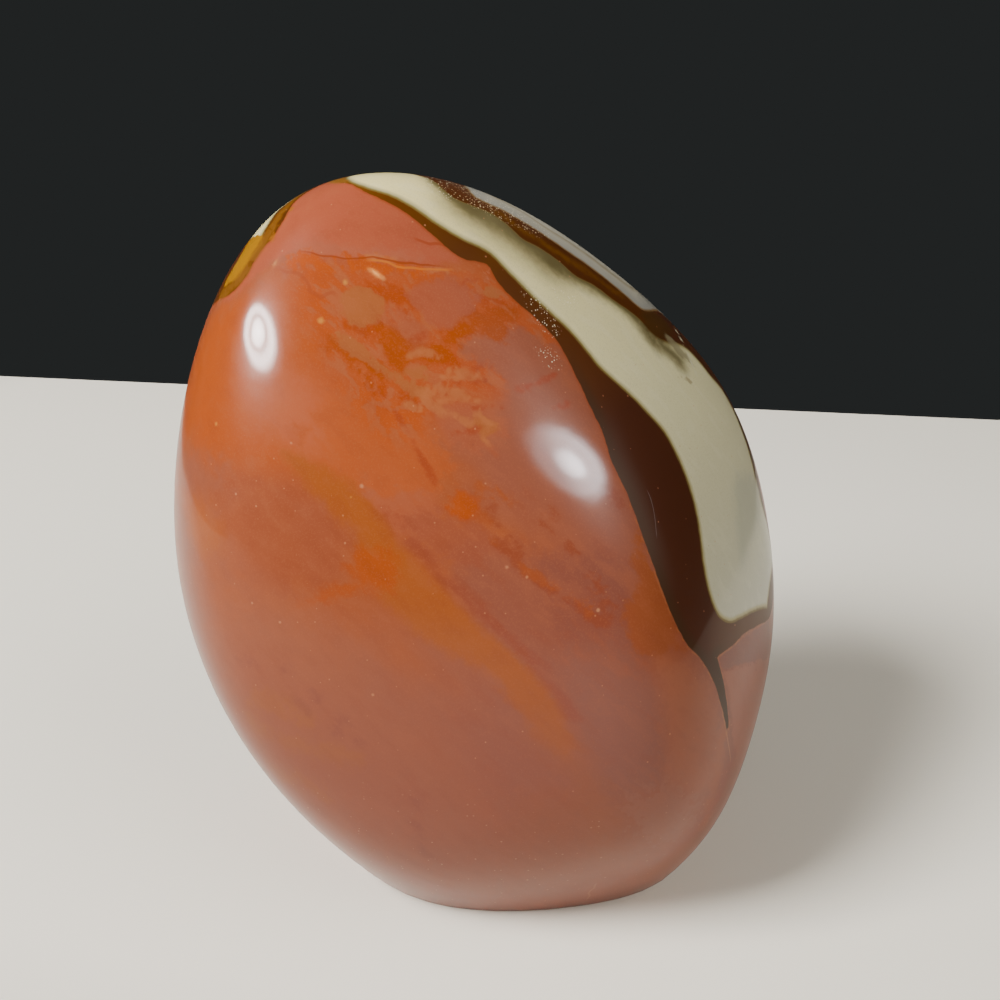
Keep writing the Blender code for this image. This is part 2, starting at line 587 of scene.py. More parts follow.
def inside(outline):
    """Which points of the skin a closed outline goes round: those with an odd count of crossings."""
    middle = outline.mean(axis=0) - np.array(HEART)
    middle /= np.linalg.norm(middle)
    x, y = flat_map(skin_points, middle)
    ring_x, ring_y = flat_map(outline, middle)
    found = np.zeros(len(x), bool)
    for x1, y1, x2, y2 in zip(ring_x, ring_y, np.roll(ring_x, -1), np.roll(ring_y, -1)):
        if y1 == y2:
            continue
        between = (y1 > y) != (y2 > y)
        found ^= between & (x < x1 + (y - y1) * (x2 - x1) / (y2 - y1))
    return found


def depth_in(outline_points):
    """How deep each point of the skin lies inside a closed outline, in millimetres."""
    outline = smooth_line(outline_points, closed=True)
    distance = distance_to(np.concatenate([outline, outline[:1]]))
    return np.where(inside(outline), distance, -distance)


def depth_in_streak(line_points, width):
    """How deep each point lies inside a streak of that width, in millimetres."""
    return width / 2 - distance_to(smooth_line(line_points, closed=False))


# A layer of vectors keeps three numbers for each point, which is quicker to read than three
# layers. This says, for each name, which layer its numbers are in and which of the three.
COLUMNS = 3
layer_of = {}


def store(numbers):
    """Keeps numbers for each point of the skin, given by name, for the material to read."""
    names = list(numbers)
    for first in range(0, len(names), COLUMNS):
        trio = names[first:first + COLUMNS]
        columns = np.zeros((len(skin_points), COLUMNS), np.float32)
        for column, name in enumerate(trio):
            columns[:, column] = numbers[name]
            layer_of[name] = (trio[0], column)
        layer = skin.data.attributes.new(trio[0], "FLOAT_VECTOR", "POINT")
        layer.data.foreach_set("vector", columns.ravel())


print("each span of a line has", SPAN_STEPS, "steps")


# %% Outlines of the cells
# The red side of the first brown wall, from the crown down to the tip of its lower branch.
RED_EDGE = (
    (328, 181), (338, 183), (348, 183), (360, 189), (376, 197), (400, 209), (424, 227),
    (447, 248), (464, 259), (478, 262), (489, 266), (495, 278), (510, 296), (533, 316),
    (556, 339), (571, 366), (588, 402), (602, 431), (612, 462), (627, 494), (639, 526),
    (651, 560), (666, 600), (678, 628), (688, 646), (698, 656), (708, 670), (715, 685),
    (720, 701), (724, 717), (727, 734), (727, 734),
)
# Back up the other side of that branch, and along the branch that goes right.
BRANCH_EDGE = (
    (728.5, 724), (727, 706), (725, 689), (721, 671), (717, 657), (717, 657), (735, 643), (745, 633),
    (761, 624), (769, 618), (773, 600), (775, 565), (775, 537),
)
# Where that wall runs on round the back, as turn and lean.
WALL_BEHIND = (
    (101, 8), (108, 15), (120, 15), (138, 6), (156, -7), (176, -14), (-164, -11),
    (-147, 2), (-130, 16), (-112, 30), (-98, 40),
)
# Up the red side of the thin wall on the upper left, and along the crown's outline.
UPPER_LEFT_EDGE = (
    (210, 308), (218, 300), (229, 295), (238, 287), (248, 273), (257, 257), (265, 246),
    (274, 236), (285, 218), (292, 205), (303, 195), (316, 186),
)
# The cream side of the first wall, down to the corner at the right.
CREAM_EDGE = (
    (347, 177), (349, 181), (360, 186), (376, 191), (400, 200), (425, 216), (441, 227),
    (461, 239), (488, 252), (508, 272), (539, 303), (569, 331), (590, 356), (602, 370),
    (633, 398), (649, 415), (665, 434), (680, 463), (692, 496), (699, 530), (703, 563),
    (709, 593), (718, 615), (728, 622), (737, 620), (754, 611), (767, 607), (767, 607),
    (770, 583), (772, 560), (772, 537),
)
CREAM_BEHIND_RIGHT = ((99, 8), (104, 18), (109, 28))
# The lower side of the second wall, from the right end up to the crown.
SECOND_WALL_LOWER = (
    (711, 376), (700, 362), (688, 349), (677, 343), (667, 342), (654, 335), (641, 321),
    (629, 311), (614, 301), (594, 286), (575, 276), (559, 262), (539, 248), (522, 239),
    (506, 224), (490, 213), (467, 204), (453, 198), (441, 188), (431, 180),
)
CREAM_BEHIND_CROWN = ((-118, 76), (-112, 68), (-103, 60))
# Down the outer side of the sliver at the upper left and back up along the thin wall.
SLIVER_EDGE = (
    (250, 240), (241, 255), (234, 267), (228, 278), (225, 285), (225, 285), (238, 276),
    (245, 265), (253, 252), (260, 243), (263, 233), (270, 222), (278, 211), (287, 201),
)
CREAM_BEHIND_PEAK = ((-101, 66), (-108, 70), (-112, 73))
# The upper side of the second wall, and where the pale back cell runs on behind it.
SECOND_WALL_UPPER = (
    (470, 193), (482, 201), (502, 210), (514, 217), (531, 227), (555, 243), (580, 260),
    (604, 278), (625, 295), (643, 310), (655, 311), (662, 314),
)
BACK_CELL_BEHIND = (
    (119, 38), (117, 30), (124, 24), (138, 18), (152, 8), (166, -2), (-178, -7), (-164, -3),
    (-149, 9), (-134, 23), (-121, 34), (-111, 44), (-112, 54), (-118, 63), (-132, 71),
    (-155, 77),
)

# %% Store how deep each point lies in the cells
cells = {
    "cap_depth": seen(*RED_EDGE, *BRANCH_EDGE)
    + hidden(*WALL_BEHIND)
    + seen(*UPPER_LEFT_EDGE),
    "cream_depth": seen(*CREAM_EDGE)
    + hidden(*CREAM_BEHIND_RIGHT)
    + seen(*SECOND_WALL_LOWER)
    + hidden(*CREAM_BEHIND_CROWN)
    + seen(*SLIVER_EDGE)
    + hidden(*CREAM_BEHIND_PEAK),
    "back_depth": seen(*SECOND_WALL_UPPER) + hidden(*BACK_CELL_BEHIND),
}
cell_depths = {name: depth_in(outline) for name, outline in cells.items()}
store(cell_depths)
for name, depths in cell_depths.items():
    print(name, "goes down to", round(depths.max(), 1), "mm")

# %% [markdown]
# The red cell isn't one red. Iron was carried through it in several waves, so flames of orange
# and ochre run down it to the right, with mauve clouds, pale leaf-shaped spots and brick-red
# marks between them. One broad wave is painted light instead: the paler haze beside the left
# glint. Noise alone would put such colours in the wrong places, so each wave is drawn here by
# its outline or its middle line, and noise only roughens its edge. The waves are listed from the
# lowest to the topmost, as a painter would lay them down. Those on the sides that the
# photograph doesn't show are made up in the same style.

# %% One wave of colour
class Wave(NamedTuple):
    """One patch or streak of colour. Its shapes are outlines, or lines if it has a width."""

    name: str
    colour: tuple  # base colour, as linear red, green and blue
    soft: float  # mm over which its edge fades
    ragged: float  # mm by which the grain moves its edge
    strength: float
    shapes: tuple  # each is a row of pixels, or of turns and leans on the hidden sides
    width: float = 0.0  # mm


def store_waves(waves, spots):
    """Stores how deep each point lies in each wave. Spots is the helper that places its points."""
    depths = {}
    for wave in waves:
        lines = [spots(*shape) for shape in wave.shapes]
        in_shapes = [
            depth_in_streak(line, wave.width) if wave.width else depth_in(line) for line in lines
        ]
        depths[wave.name] = np.max(in_shapes, axis=0)
    store(depths)
    print(len(waves), "waves, from", waves[0].name, "to", waves[-1].name)


# %% Broad waves of the red cell
BROAD_WAVES = (
    Wave("left_orange", (0.325, 0.058, 0.006), 2.8, 1.2, 0.9, (
        ((228, 300), (262, 280), (300, 268), (345, 290), (335, 330), (340, 380), (362, 430),
         (352, 480), (300, 495), (240, 470), (186, 440), (180, 410), (194, 360), (210, 315)),
    )),
    # Painted highlight: the paler orange-pink haze beside the left lamp's glint.
    Wave("left_glow", (0.36, 0.088, 0.036), 2.4, 1.0, 0.8, (
        ((285, 375), (315, 380), (345, 420), (340, 455), (300, 460), (270, 430), (268, 395)),
    )),
    Wave("lower_left_clay", (0.265, 0.076, 0.034), 4.0, 1.2, 0.9, (
        ((195, 620), (260, 600), (340, 640), (400, 700), (480, 800), (540, 900), (420, 890),
         (330, 840), (260, 770), (215, 700)),
    )),
    Wave("left_brick", (0.25, 0.060, 0.024), 2.4, 1.5, 0.8, (
        ((221, 500), (270, 475), (330, 480), (353, 520), (350, 570), (300, 590), (240, 580)),
    )),
    Wave("middle_mauve", (0.21, 0.064, 0.037), 2.0, 1.2, 0.9, (
        ((470, 535), (520, 545), (560, 570), (570, 640), (572, 720), (610, 800), (580, 820),
         (560, 740), (530, 680), (490, 630), (455, 590)),
    )),
    Wave("lower_wall_mauve", (0.18, 0.057, 0.038), 1.6, 1.0, 0.8, (
        ((540, 560), (600, 556), (640, 600), (662, 640), (640, 658), (590, 655), (555, 620)),
    )),
    Wave("right_mauve", (0.205, 0.076, 0.052), 2.6, 1.5, 0.9, (
        ((568, 660), (620, 640), (650, 665), (677, 700), (672, 770), (640, 800), (590, 790),
         (570, 730)),
    )),
    Wave("right_clay", (0.31, 0.096, 0.042), 1.6, 1.0, 0.85, (
        ((657, 655), (690, 668), (712, 690), (722, 740), (705, 790), (672, 790), (665, 720)),
    )),
    Wave("lower_right_brown", (0.25, 0.068, 0.024), 3.0, 1.6, 0.8, (
        ((520, 800), (600, 800), (680, 805), (695, 845), (640, 885), (560, 905), (510, 880)),
    )),
    Wave("middle_pink", (0.30, 0.074, 0.032), 1.0, 1.0, 0.8, (
        ((345, 505), (380, 470), (430, 485), (436, 525), (400, 540), (360, 530)),
    )),
    Wave("middle_orange", (0.34, 0.070, 0.016), 1.4, 2.0, 0.8, (
        ((330, 400), (380, 392), (432, 418), (445, 470), (420, 492), (370, 495), (325, 475),
         (312, 430)),
    )),
    Wave("middle_brick", (0.235, 0.060, 0.030), 1.0, 1.4, 0.7, (
        ((404, 520), (450, 512), (500, 528), (505, 552), (450, 560), (410, 548)),
    )),
    Wave("ochre_flame", (0.28, 0.068, 0.011), 0.8, 0.6, 0.95, (
        ((282, 451), (311, 490), (335, 514), (355, 533), (368, 570), (380, 596), (396, 612),
         (415, 629), (443, 649), (476, 665), (500, 686), (540, 735), (572, 760), (572, 735),
         (564, 717), (553, 695), (537, 676), (519, 658), (500, 641), (486, 631), (470, 616),
         (451, 596), (431, 577), (421, 563), (396, 543), (392, 531), (374, 506), (330, 470)),
    )),
    Wave("ochre_tail", (0.27, 0.075, 0.022), 1.8, 1.0, 0.55, (
        ((545, 730), (575, 762), (594, 800), (606, 853)),
    ), 3.0),
    Wave("flame_fringe", (0.215, 0.044, 0.020), 0.7, 0.6, 0.6, (
        ((384, 508), (402, 530), (420, 553), (440, 574), (462, 596), (480, 614), (496, 628),
         (512, 643), (530, 660), (548, 680), (563, 700), (574, 718)),
    ), 1.0),
    Wave("flame_heart", (0.31, 0.054, 0.005), 0.8, 0.8, 0.9, (
        ((350, 560), (376, 547), (396, 562), (394, 586), (372, 592), (352, 578)),
        ((376, 570), (340, 586), (309, 602), (300, 606), (330, 598), (372, 588)),
    )),
    Wave("left_low_orange", (0.30, 0.075, 0.018), 1.4, 0.8, 0.7, (
        ((190, 500), (214, 514), (222, 545), (204, 556), (190, 536)),
    )),
    Wave("orange_blob", (0.32, 0.052, 0.004), 0.5, 0.6, 0.85, (
        ((446, 500), (460, 492), (477, 504), (469, 519), (452, 514)),
    )),
    Wave("wall_side_orange", (0.25, 0.060, 0.015), 0.5, 0.8, 0.9, (
        ((634, 506), (638, 525), (632, 540), (636, 579), (628, 608), (629, 630), (634, 650),
         (650, 655), (668, 653), (686, 650), (680, 636), (672, 616), (655, 575), (643, 540)),
    )),
    Wave("brick_mottles", (0.21, 0.045, 0.018), 0.5, 0.9, 0.75, (
        ((516, 563), (530, 580), (546, 590), (562, 597), (580, 608), (604, 623)),
        ((492, 508), (500, 524), (506, 545)), ((499, 538), (508, 550), (516, 556)),
        ((591, 578), (596, 584), (599, 590)), ((600, 603), (608, 602)), ((612, 496), (619, 505)),
        ((545, 518), (553, 522)), ((571, 547), (576, 552)),
    ), 0.9),
    Wave("mottle_orange", (0.27, 0.058, 0.014), 0.5, 1.0, 0.7, (
        ((480, 486), (494, 492), (504, 502)), ((524, 570), (544, 580), (566, 590), (590, 606)),
        ((484, 520), (494, 534)),
    ), 0.7),
)
store_waves(BROAD_WAVES, seen)

# %% The peak, the swirl under it, and the small marks
SWIRL_WAVES = (
    Wave("pink_peak", (0.300, 0.067, 0.031), 0.4, 0.4, 1.0, (
        ((300, 190), (328, 181), (350, 183), (376, 197), (400, 209), (424, 227), (447, 248),
         (466, 262), (440, 265), (425, 266), (396, 259), (372, 258), (356, 259), (331, 256),
         (311, 253), (294, 251), (270, 264), (250, 280), (232, 300), (222, 298), (240, 280),
         (258, 256), (272, 236), (286, 214)),
    )),
    Wave("peak_haze", (0.29, 0.090, 0.050), 0.7, 0.7, 0.6, (
        ((299, 249), (330, 251), (372, 254), (419, 257)),
    ), 1.2),
    Wave("orange_under_vein", (0.34, 0.056, 0.005), 0.4, 1.0, 0.95, (
        ((290, 254), (331, 258), (372, 260), (425, 268), (466, 269), (474, 282), (440, 280),
         (400, 274), (350, 270), (311, 270), (292, 264)),
    )),
    Wave("swirl_pink", (0.27, 0.070, 0.032), 0.7, 1.2, 0.75, (
        ((386, 308), (404, 306), (420, 322), (430, 336), (416, 342), (400, 334), (388, 322)),
        ((434, 404), (462, 400), (496, 404), (510, 424), (500, 446), (470, 452), (446, 436)),
        ((430, 270), (452, 272), (474, 274), (486, 282), (470, 284), (446, 280)),
    )),
    Wave("upper_right_mauve", (0.225, 0.068, 0.036), 0.8, 1.3, 0.9, (
        ((458, 350), (468, 334), (490, 325), (530, 332), (556, 350), (580, 385), (600, 440),
         (570, 432), (540, 425), (510, 414), (504, 396), (496, 378), (474, 364)),
    )),
    Wave("dark_flow", (0.28, 0.042, 0.005), 0.5, 1.0, 0.9, (
        ((484, 300), (498, 303), (513, 304)),
        ((500, 315), (474, 321), (458, 331), (443, 341), (445, 355), (454, 364)),
        ((348, 323), (362, 327), (380, 335)), ((368, 284), (388, 294), (413, 306)),
        ((340, 345), (362, 366), (388, 392), (410, 402)),
    ), 1.1),
    Wave("orange_flow", (0.27, 0.046, 0.003), 0.7, 1.2, 0.9, (
        ((512, 311), (492, 318), (474, 324), (458, 334), (446, 346), (430, 360)),
        ((384, 336), (396, 350), (404, 362)), ((342, 343), (362, 364), (382, 374)),
        ((466, 326), (482, 330), (498, 333)),
    ), 1.5),
    Wave("tan_leaves", (0.28, 0.082, 0.024), 0.2, 0.4, 0.95, (
        ((339, 298), (350, 287), (366, 288), (384, 302), (380, 317), (368, 325), (352, 323),
         (342, 313)),
        ((332, 328), (346, 333), (360, 342), (372, 354), (376, 362), (362, 361), (346, 350),
         (337, 340)),
        ((374, 364), (390, 370), (408, 380), (426, 388), (433, 399), (424, 400), (408, 391),
         (390, 379)),
        ((404, 370), (416, 364), (430, 368), (428, 378), (414, 380)),
        ((482, 288), (494, 286), (505, 295), (494, 298), (484, 294)),
        ((474, 414), (490, 418), (500, 428), (486, 440), (478, 428)),
    )),
    Wave("pink_leaf", (0.27, 0.066, 0.030), 0.4, 0.6, 0.95, (
        ((411, 290), (433, 280), (454, 283), (470, 292), (482, 298), (474, 306), (460, 317),
         (450, 328), (433, 325), (421, 313), (411, 302)),
    )),
    Wave("brick_band", (0.285, 0.056, 0.015), 0.5, 0.5, 0.8, (
        ((435, 399), (454, 396), (473, 395), (498, 396)),
    ), 0.9),
    Wave("brick_marks", (0.25, 0.040, 0.012), 0.25, 0.25, 0.75, (
        ((472, 368), (482, 366), (490, 366)), ((445, 379), (460, 382), (476, 382)),
        ((517, 390), (536, 384), (556, 374)), ((433, 397), (445, 394)),
        ((474, 408), (490, 406), (503, 408)), ((556, 408), (568, 404)), ((380, 319), (392, 321)),
        ((413, 339), (425, 335)), ((394, 410), (412, 440), (435, 481)), ((464, 282), (480, 279)),
        ((470, 376), (484, 378)), ((454, 433), (465, 431), (479, 429)),
    ), 0.5),
    Wave("crinkled_rim", (0.36, 0.120, 0.060), 0.15, 0.5, 0.7, (
        ((470, 266), (480, 264), (487, 268), (490, 275)), ((476, 274), (484, 276), (492, 284)),
    ), 0.3),
    Wave("tan_streaks", (0.34, 0.110, 0.038), 0.25, 0.3, 0.8, (
        ((441, 376), (460, 378), (480, 376)), ((427, 388), (450, 391), (463, 393)),
        ((446, 369), (458, 371), (470, 370)), ((450, 398), (466, 399), (480, 402)),
        ((420, 392), (434, 396), (444, 399)), ((410, 356), (424, 352), (438, 356)),
        ((423, 400), (432, 406), (443, 401)), ((439, 412), (454, 416), (470, 425)),
        ((485, 436), (489, 442)), ((403, 404), (421, 410)), ((476, 414), (488, 422), (499, 427)),
        ((368, 257), (382, 258), (396, 260)), ((425, 270), (445, 270), (464, 270)),
    ), 0.5),
    Wave("lower_left_ochre", (0.29, 0.088, 0.020), 1.0, 1.3, 0.6, (
        ((258, 702), (282, 708), (306, 722)), ((252, 722), (262, 730)),
        ((288, 740), (328, 750), (350, 758)), ((266, 766), (300, 782), (322, 795)),
    ), 1.8),
    Wave("purple_mottles", (0.18, 0.046, 0.030), 0.7, 0.9, 0.4, (
        ((234, 661), (253, 663)), ((286, 667), (298, 673)), ((312, 692), (318, 697)),
        ((299, 704), (307, 710)), ((342, 719), (352, 724)), ((333, 732), (348, 738), (361, 743)),
        ((418, 800), (423, 808)), ((414, 822), (419, 828)), ((421, 840), (425, 857)),
    ), 0.5),
    Wave("right_orange_strip", (0.32, 0.082, 0.022), 1.0, 1.0, 0.7, (
        ((724, 730), (718, 775), (704, 824)),
    ), 1.8),
    Wave("foot_mottles", (0.29, 0.12, 0.075), 0.8, 2.4, 0.4, (
        ((627, 800), (650, 790), (690, 795), (688, 830), (650, 838)),
    )),
    # The small cell beyond the branch, at the lower right.
    Wave("branch_clay", (0.32, 0.097, 0.050), 0.4, 0.5, 0.9, (
        ((723, 672), (740, 666), (768, 655), (772, 700), (762, 725), (750, 760), (738, 770),
         (733, 740), (730, 700)),
    )),
    Wave("branch_mauve", (0.19, 0.062, 0.042), 0.15, 0.2, 0.95, (
        ((721, 655), (740, 641), (761, 625), (768, 619), (769, 655), (758, 660), (746, 663),
         (735, 666), (723, 670)),
    )),
    Wave("branch_red_line", (0.20, 0.04, 0.02), 0.15, 0.2, 0.8, (
        ((723, 671), (735, 668), (748, 665), (768, 657)),
    ), 0.3),
)
store_waves(SWIRL_WAVES, seen)

# %% Guessed waves on the left, the back and the underside
HIDDEN_WAVES = (
    Wave("back_orange", (0.31, 0.062, 0.008), 1.8, 2.4, 0.95, (
        ((-92, 12), (-104, 22), (-120, 16), (-128, 4), (-122, -10), (-106, -14), (-94, -4)),
        ((104, 2), (120, 8), (140, -2), (152, -16), (136, -24), (116, -18), (104, -10)),
    )),
    Wave("back_mauve", (0.20, 0.068, 0.046), 2.0, 2.4, 0.9, (
        ((-168, -24), (-150, -14), (-132, -14), (-118, -24), (-126, -42), (-150, -50), (-170, -40)),
        ((70, -40), (95, -30), (115, -34), (110, -52), (85, -58)),
    )),
    Wave("back_flame", (0.31, 0.086, 0.014), 0.9, 1.4, 0.95, (
        ((118, -4), (134, -10), (150, -20), (166, -30), (178, -42), (-172, -54), (178, -56),
         (160, -44), (144, -34), (130, -26), (120, -16)),
    )),
    Wave("side_leaves", (0.30, 0.105, 0.040), 0.4, 0.7, 0.9, (
        ((-96, 8), (-101, 12), (-108, 9), (-110, 2), (-104, -2), (-98, 1)),
        ((-112, -6), (-117, -4), (-124, -10), (-122, -16), (-115, -13)),
        ((100, -14), (106, -10), (114, -14), (112, -22), (104, -20)),
        ((-176, -26), (-168, -24), (-164, -30), (-171, -36), (-178, -32)),
    )),
    Wave("side_flow", (0.27, 0.046, 0.004), 0.6, 1.2, 0.9, (
        ((-90, 16), (-98, 5), (-104, -8), (-116, -18)), ((108, 4), (118, -6), (132, -18)),
    ), 1.4),
    Wave("back_fringe", (0.22, 0.045, 0.020), 0.6, 0.9, 0.75, (
        ((132, -7), (150, -17), (167, -27), (-180, -38), (-170, -50)),
    ), 1.0),
    Wave("back_mottles", (0.22, 0.040, 0.014), 0.5, 1.8, 0.85, (
        ((-142, -10), (-134, -22), (-126, -34)), ((-156, -22), (-148, -33), (-140, -44)),
        ((-106, -20), (-100, -34), (-92, -46)), ((96, -14), (102, -26), (112, -40)),
    ), 1.2),
)


store_waves(HIDDEN_WAVES, hidden)

# %% Waves that lie over the walls and the pale cells
PALE_WAVES = (
    Wave("mustard", (0.28, 0.122, 0.002), 0.15, 0.15, 1.0, (
        ((250, 240), (262, 236), (262, 244), (254, 254), (246, 267), (238, 278), (224, 287),
         (228, 277), (234, 267), (241, 255)),
    )),
    Wave("left_wall_glow", (0.17, 0.066, 0.008), 0.25, 0.2, 0.8, (
        ((300, 192), (286, 207), (273, 226), (261, 246), (247, 268), (235, 284), (221, 296)),
    ), 1.2),
    Wave("left_wall_heart", (0.28, 0.095, 0.006), 0.25, 0.3, 0.8, (
        ((292, 208), (282, 222), (272, 237), (262, 252)),
    ), 0.3),
    Wave("peak_smudge", (0.20, 0.085, 0.012), 0.3, 0.4, 0.85, (
        ((326, 182), (334, 177), (345, 177), (346, 183), (336, 184)),
    )),
    Wave("second_wall_heart", (0.125, 0.046, 0.004), 0.5, 0.4, 0.9, (
        ((492, 210), (510, 221), (530, 235), (556, 252), (577, 264), (598, 279), (621, 296)),
    ), 0.9),
    Wave("second_wall_blob", (0.060, 0.026, 0.005), 0.5, 0.5, 0.9, (
        ((643, 314), (660, 316), (672, 330), (668, 341), (655, 336), (645, 326)),
    )),
    Wave("grey_wisps", (0.20, 0.175, 0.10), 0.7, 0.9, 0.8, (
        ((667, 336), (680, 345), (692, 362), (686, 364), (674, 352)),
    )),
    Wave("white_wisp", (0.62, 0.60, 0.42), 0.2, 0.4, 0.8, (
        ((675, 329), (684, 346), (696, 374)),
    ), 0.4),
    # Painted reflection: a grey wedge on the cream, where the polish mirrors the dark surroundings.
    Wave("cream_shade", (0.36, 0.365, 0.29), 1.4, 0.6, 0.6, (
        ((735, 478), (756, 482), (760, 515), (751, 543), (743, 566), (738, 540)),
    )),
    Wave("cream_flecks", (0.25, 0.20, 0.10), 0.15, 0.4, 0.7, (
        ((688, 381), (691, 384)), ((678, 376), (682, 379)),
    ), 0.3),
)
# These two only dim the cream beside the second wall, and leave the wall itself alone.
CREAM_HAZES = (
    Wave("second_wall_haze", (0.100, 0.080, 0.034), 2.3, 0.3, 0.95, (
        ((464, 202), (490, 218), (509, 230), (535, 248), (552, 261)),
    ), 4.8),
    Wave("second_wall_veil", (0.105, 0.085, 0.034), 1.2, 0.3, 0.95, (
        ((436, 183), (452, 192), (471, 206)),
        ((550, 260), (581, 279), (602, 291), (623, 306), (640, 323), (653, 340), (668, 350),
         (680, 361)),
    ), 2.2),
)
store_waves(PALE_WAVES + CREAM_HAZES, seen)

# %% [markdown]
# A vein is thinner than the gap between two points of the skin, so its depth can't be stored:
# it would break up into beads. What changes evenly across such a line is how far beside it a
# point lies, with a sign for the side, so that is stored, together with how far along it the
# point is. The material then draws the line as thin as it likes and lets both ends run out.

# %% Veins and scratches
class Vein(NamedTuple):
    """One thin line."""

    name: str
    colour: tuple
    width: float  # mm
    wavy: float  # mm by which the grain moves it sideways
    strength: float
    line: list


VEINS = (
    Vein("peak_vein", (0.23, 0.036, 0.006), 0.16, 0.10, 0.85, seen(
        (294, 250), (310, 253), (322, 256), (349, 258), (372, 257), (397, 262), (418, 264),
        (450, 268))),
    Vein("upper_vein", (0.25, 0.042, 0.012), 0.22, 0.25, 0.8, seen(
        (412, 235), (433, 243), (450, 249), (464, 260))),
    Vein("yellow_line", (0.46, 0.13, 0.014), 0.18, 0.10, 0.75, seen(
        (362, 260), (382, 261), (398, 266), (418, 268), (436, 270), (456, 270))),
    Vein("left_line", (0.25, 0.045, 0.012), 0.35, 0.5, 0.5, seen(
        (270, 272), (300, 280), (339, 302))),
    Vein("foot_vein", (0.32, 0.13, 0.08), 0.2, 0.2, 0.6, seen(
        (585, 901), (591, 892), (598, 882))),
    Vein("left_vein", (0.23, 0.036, 0.008), 0.18, 0.15, 0.8, hidden(
        (-92, 14), (-102, 14), (-112, 6), (-118, -6), (-128, -16), (-136, -30))),
    Vein("back_vein", (0.22, 0.040, 0.012), 0.20, 0.20, 0.8, hidden(
        (124, -12), (142, -20), (160, -26), (178, -40), (-168, -46))),
    Vein("back_yellow_line", (0.42, 0.13, 0.02), 0.16, 0.10, 0.7, hidden(
        (128, -16), (146, -24), (162, -31), (178, -44))),
    Vein("branch_tail", (0.40, 0.16, 0.07), 0.14, 0.05, 0.6, seen(
        (721, 706), (725, 722), (728, 742), (731, 764))),
)
# The scratch lies in the brown wall, and the veins in the red cell.
WALL_SCRATCH = Vein("wall_scratch", (0.16, 0.13, 0.12), 0.07, 0.03, 0.7, seen(
    (646, 488), (651, 500), (655, 518), (657, 540)))


def beside(line_points):
    """How far each point lies beside a line, in mm with a sign, and how far along it, 0 to 1."""
    line = smooth_line(line_points, closed=False)
    steps = np.linalg.norm(np.diff(line, axis=0), axis=1)
    outwards = skin_points - np.array(HEART)
    nearest = np.full(len(skin_points), np.inf)
    side = np.zeros(len(skin_points))
    along = np.zeros(len(skin_points))
    for number, (start, end) in enumerate(zip(line[:-1], line[1:])):
        way = (end - start) / steps[number]
        reach = np.clip((skin_points - start) @ way, 0, steps[number])
        gap = skin_points - start - reach[:, None] * way
        distance = np.linalg.norm(gap, axis=1)
        closer = distance < nearest
        sign = np.sign((np.cross(way, gap) * outwards).sum(axis=1))
        nearest[closer] = distance[closer]
        side[closer] = (sign * distance)[closer]
        along[closer] = (steps[:number].sum() + reach)[closer]
    return side / MM, along / steps.sum()


vein_places = {}
for vein in (*VEINS, WALL_SCRATCH):
    vein_places[vein.name + "_side"], vein_places[vein.name + "_along"] = beside(vein.line)
store(vein_places)
print(len(VEINS), "veins and a scratch")

# %% Where the threads swirl and where pits lie
SWIRL_OUTLINE = (
    (300, 262), (360, 256), (440, 266), (500, 275), (540, 315), (560, 345), (500, 400),
    (440, 420), (400, 450), (350, 410), (318, 350), (300, 310),
)
PITTED_OUTLINES = (
    ((426, 175), (460, 184), (514, 208), (548, 230), (544, 238), (508, 222), (470, 205), (430, 190)),
    ((524, 290), (540, 298), (558, 330), (548, 334), (532, 312)),
    ((538, 346), (556, 356), (558, 368), (545, 362)),
    ((552, 288), (574, 296), (576, 306), (560, 302)),
)
in_pitted = [depth_in(seen(*outline)) for outline in PITTED_OUTLINES]
store({"swirl": depth_in(seen(*SWIRL_OUTLINE)), "pitted": np.max(in_pitted, axis=0)})
print(len(PITTED_OUTLINES), "pitted patches")

# %% [markdown]
# The finish is built up as the stone reads: first the red ground and its waves, then the brown
# walls, then the pale cells, and last the specks. Every colour is laid over the one below it
# by a mask between 0 and 1. The coordinates are the object's own, so nothing slides when the
# camera moves, and noise that is stretched along the flow of the waves ties them together.

# %% Helpers for painting
veined_jasper.use_nodes = True
tree = veined_jasper.node_tree
place = put(tree, "ShaderNodeTexCoord").outputs["Object"]
height = put(tree, "ShaderNodeSeparateXYZ", place).outputs["Z"]
opened_layers = {}


def stored(name):
    """The number that the skin keeps under this name. Each layer is read by one node only."""
    layer, column = layer_of[name]
    if layer not in opened_layers:
        read = put(tree, "ShaderNodeAttribute", attribute_name=layer).outputs["Vector"]
        opened_layers[layer] = put(tree, "ShaderNodeSeparateXYZ", read).outputs
    return opened_layers[layer][column]


def grain(size, where=None, detail=3.0):
    """Cloudy noise with lumps about size mm wide, stretched out to between 0 and 1."""
    noise = put(tree, "ShaderNodeTexNoise", where or place, None, 1 / (size * MM), detail)
    return fade(tree, noise.outputs["Fac"], 0.3, 0.7)


def paint(under, colour, amount):
    """Lays a colour over another by an amount between 0 and 1."""
    mix = put(tree, "ShaderNodeMix", amount, data_type="RGBA")
    for socket, value in ((mix.inputs[6], under), (mix.inputs[7], colour)):
        if isinstance(value, bpy.types.NodeSocket):
            tree.links.new(value, socket)
        else:
            socket.default_value = (*value, 1.0)
    return mix.outputs[2]


def both(*amounts):
    """The product of several amounts: where all of them are high."""
    product = amounts[0]
    for amount in amounts[1:]:
        product = maths(tree, "MULTIPLY", product, amount)
    return product


print("nodes that the finish starts from:", len(tree.nodes))

# %% Grain at several scales
FLOW_TILT = math.radians(44)
FLOW_STRETCH = 3.2
flow = put(
    tree,
    "ShaderNodeMapping",
    place,
    None,
    (0, FLOW_TILT, 0),
    (FLOW_STRETCH, 1, 1),
    vector_type="TEXTURE",
).outputs[0]

